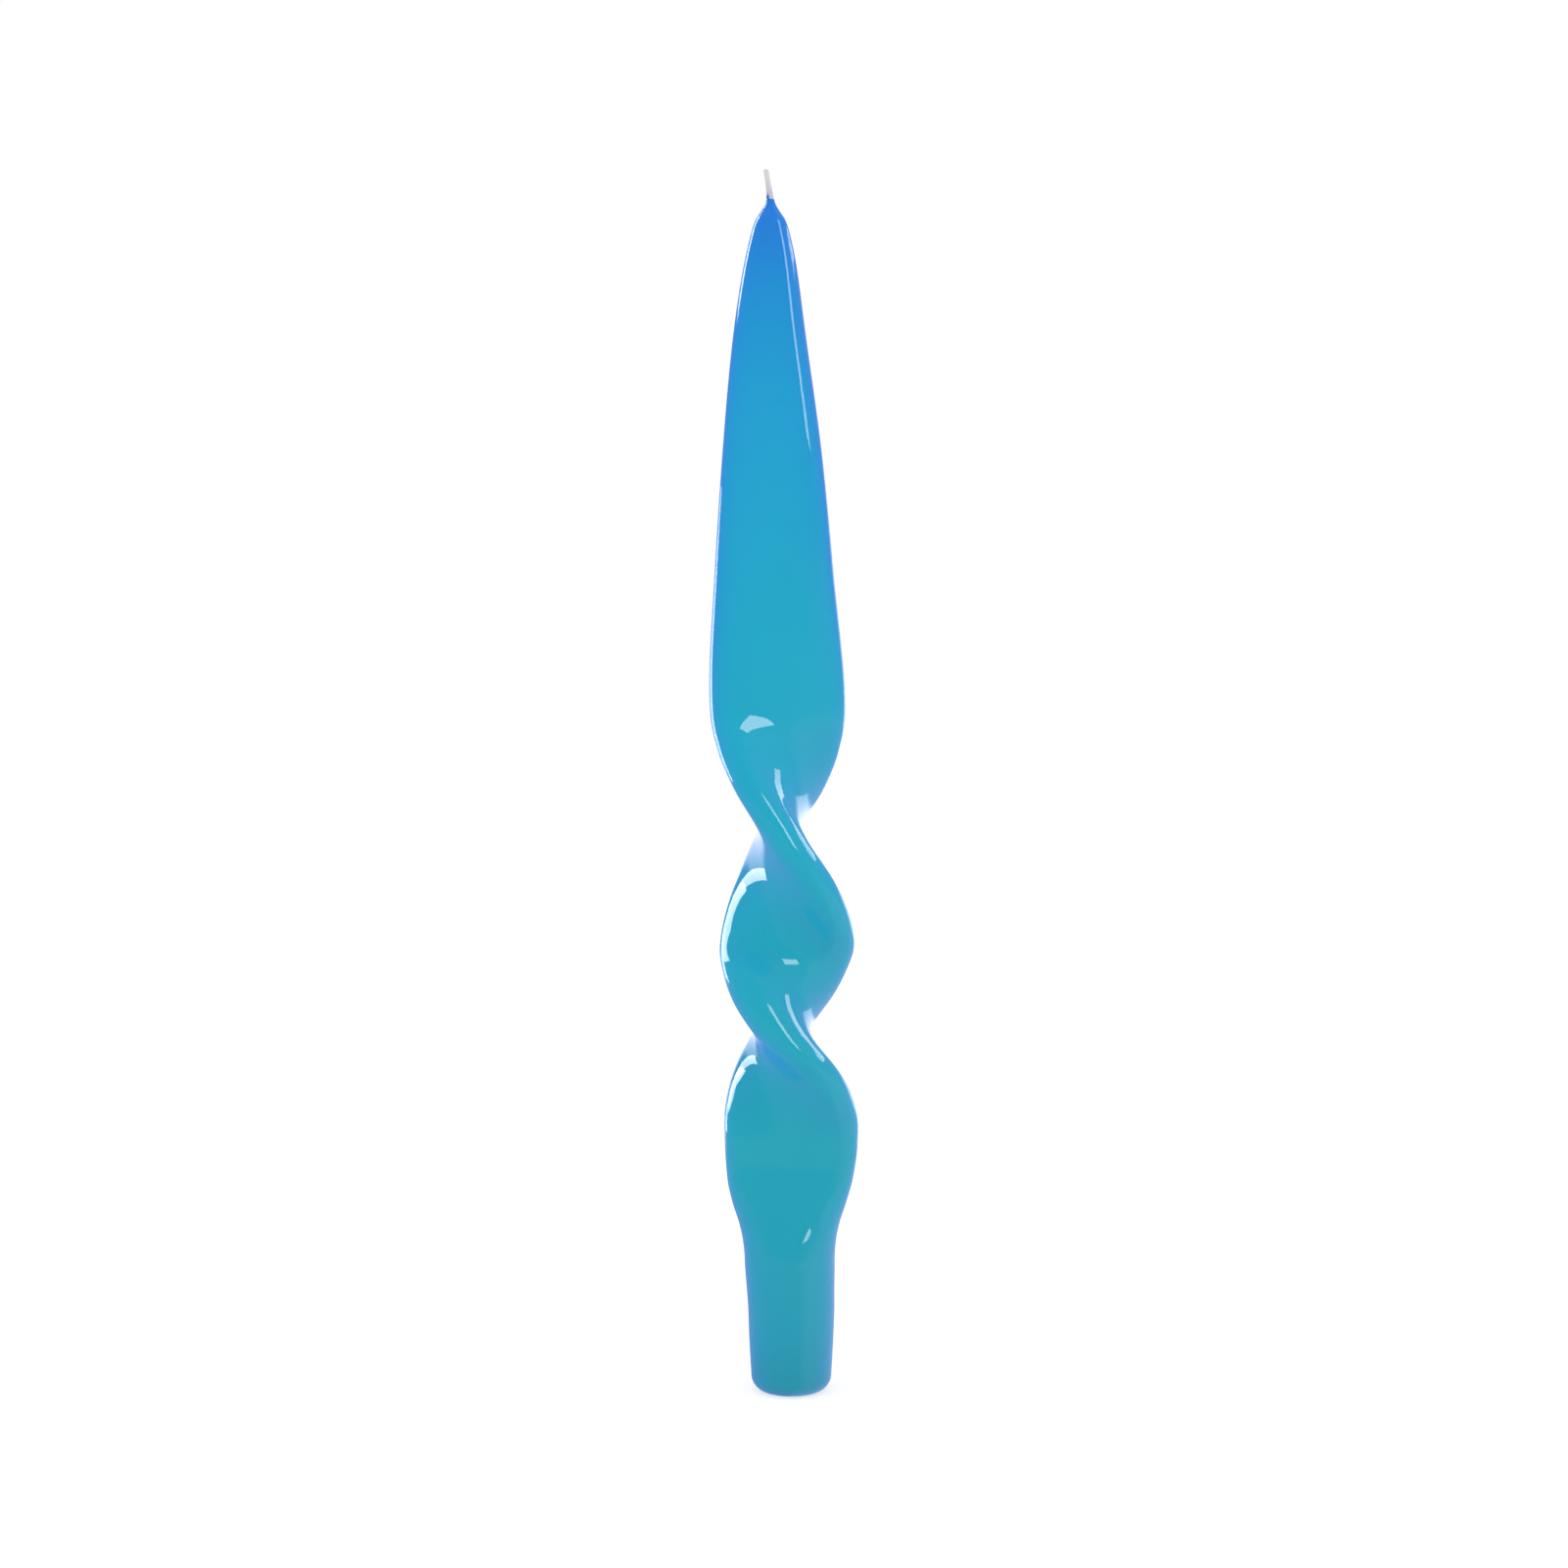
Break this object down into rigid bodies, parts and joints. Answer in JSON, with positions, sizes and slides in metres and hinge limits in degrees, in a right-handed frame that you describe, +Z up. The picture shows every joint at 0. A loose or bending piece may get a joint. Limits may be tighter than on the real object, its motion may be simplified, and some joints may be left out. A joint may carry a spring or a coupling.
{
  "type": "twisted taper candle",
  "caption": "Flat-bladed taper candle twisted one turn by hand, with a round tapered butt for a candle cup, gloss lacquer over dyed wax and a stiff waxed wick.",
  "frame": {"origin": "centre of the flat foot at the bottom of the butt", "axes": "+Z up along the candle to the wick, X across the flat of the upper blade, Y through its thickness"},
  "size_m": [0.0365, 0.0336, 0.3],
  "materials": {
    "lacquered_wax": "clear high-gloss lacquer over translucent turquoise wax, bluer at the thin edges and towards the tip",
    "dyed_wax": "turquoise dyed wax, satin where it is cut",
    "core_wax": "undyed white wax, satin where it is cut",
    "priming_wax": "thin translucent off-white wax soaked through the wick",
    "cotton": "bleached cotton yarn, plaited and waxed"
  },
  "bodies": {
    "root": {"wick_strand_a": "cotton", "wick_strand_b": "cotton", "wick_strand_c": "cotton", "wick_wax": "priming_wax", "core_wax": "core_wax", "dyed_wax": "dyed_wax", "lacquer": "lacquered_wax"}
  },
  "joints": []
}
